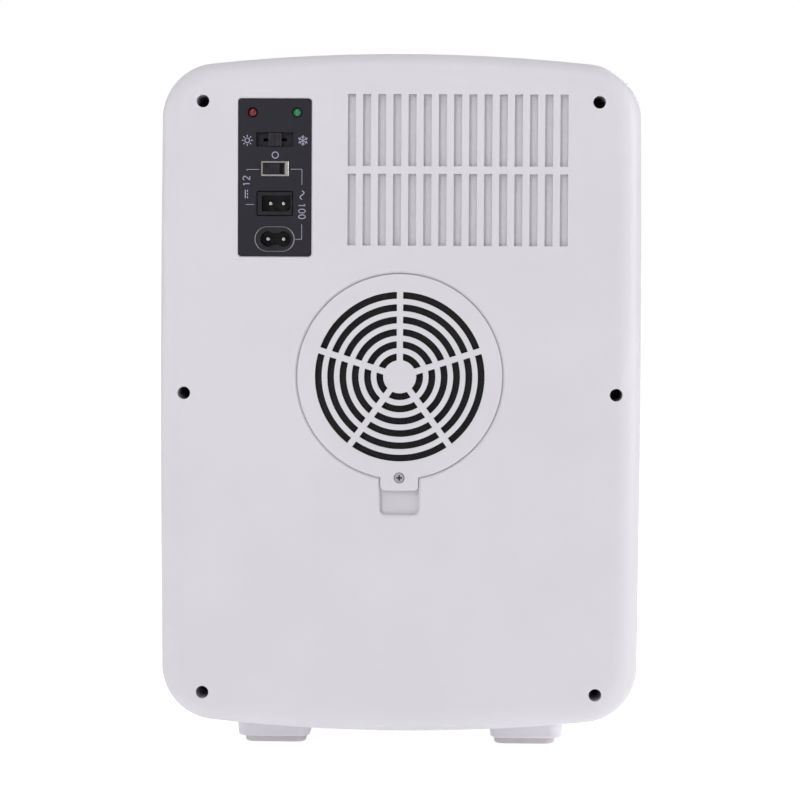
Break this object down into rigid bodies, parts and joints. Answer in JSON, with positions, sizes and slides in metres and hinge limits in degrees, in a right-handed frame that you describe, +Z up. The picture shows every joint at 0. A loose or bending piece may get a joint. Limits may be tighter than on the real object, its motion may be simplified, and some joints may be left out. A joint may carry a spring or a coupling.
{
  "type": "mini fridge",
  "caption": "Small thermoelectric cooler and warmer: rounded white cabinet with a hinged door, rear fan grille, vent and switch panel.",
  "frame": {"origin": "on the floor, under the middle of the whole fridge's bounding box", "axes": "+Z up, +Y out of the back with the fan and the sockets, -Y out of the door, +X to the right seen from the door side"},
  "size_m": [0.266, 0.31, 0.3878],
  "materials": {
    "white_shell": "fine moulded texture",
    "white_liner": "semi-gloss",
    "foam": "closed-cell foam",
    "filter_foam": "open-cell foam",
    "steel": "zinc plated",
    "dark_steel": "black",
    "panel_grey": "fine moulded texture",
    "black_plastic": "satin",
    "red_lens": "clear tinted",
    "green_lens": "clear tinted",
    "nickel": "plated",
    "aluminium": "mill finish",
    "ceramic_plate": "ceramic",
    "board_green": "solder mask",
    "copper": "enamelled winding",
    "seal_rubber": "soft",
    "foot_rubber": "soft",
    "magnet": "ferrite filled",
    "lead_insulation": "smooth",
    "coated_wire": "white coated",
    "clear_tray": "frosted clear"
  },
  "bodies": {
    "cabinet": {"cabinet_shell": "white_shell", "bulkhead": "white_liner", "inner_liner": "white_liner", "front_frame": "white_liner", "cabinet_foam": "foam", "keeper_frame": "steel", "rear_cover": "white_shell", "rear_cover_screws": "dark_steel", "vent_baffle": "white_shell", "fan_cover": "white_shell", "fan_cover_screw": "steel", "filter_pad": "filter_foam", "control_panel": "panel_grey", "led_red": "red_lens", "led_green": "green_lens", "switch_bodies": "black_plastic", "voltage_switch_frame": "nickel", "dc_inlet": "black_plastic", "ac_inlet": "black_plastic", "inlet_pins": "nickel", "control_board": "board_green", "hot_sink": "aluminium", "bulkhead_screws": "steel", "clamp_washers": "ceramic_plate", "clamp_screws": "steel", "peltier_module": "ceramic_plate", "module_seal": "foam", "cold_block": "aluminium", "cold_sink": "aluminium", "fan_frame": "black_plastic", "fan_screws": "steel", "inner_fan_frame": "black_plastic", "inner_fan_cover": "white_liner", "power_board": "board_green", "power_transformer": "copper", "power_capacitors": "black_plastic", "heat_spreaders": "aluminium", "board_connectors": "ceramic_plate", "mains_leads": "lead_insulation", "cooler_leads": "lead_insulation", "shelf": "coated_wire", "feet": "white_shell", "foot_pads": "foot_rubber", "foot_screws": "steel", "hinge_brackets": "steel", "hinge_bracket_screws": "steel", "hinge_bushes": "ceramic_plate"},
    "door": {"door_outer": "white_shell", "door_inner": "white_liner", "door_foam": "foam", "door_gasket": "seal_rubber", "gasket_magnet": "magnet", "door_grip": "panel_grey", "lower_door_rack": "clear_tray", "upper_door_rack": "clear_tray", "hinge_pins": "steel"},
    "rear_fan": {"fan_rotor": "black_plastic"},
    "cold_fan": {"inner_fan_rotor": "black_plastic"},
    "mode_knob": {"mode_switch_knob": "black_plastic"},
    "voltage_knob": {"voltage_switch_knob": "black_plastic"}
  },
  "joints": [
    {"name": "door_hinge", "type": "hinge", "parent": "cabinet", "child": "door", "pos_m": [0.121, -0.133, 0.2], "axis": [0, 0, 1], "range_deg": [0, 105]},
    {"name": "fan_spin", "type": "hinge", "parent": "cabinet", "child": "rear_fan", "pos_m": [0, 0.135, 0.21], "axis": [0, 1, 0], "continuous": true},
    {"name": "inner_fan_spin", "type": "hinge", "parent": "cabinet", "child": "cold_fan", "pos_m": [0, 0.035, 0.21], "axis": [0, 1, 0], "continuous": true},
    {"name": "mode_switch_slide", "type": "slide", "parent": "cabinet", "child": "mode_knob", "axis": [1, 0, 0], "range_m": [-0.005, 0.005]},
    {"name": "voltage_switch_slide", "type": "slide", "parent": "cabinet", "child": "voltage_knob", "axis": [-1, 0, 0], "range_m": [0, 0.0028]}
  ]
}
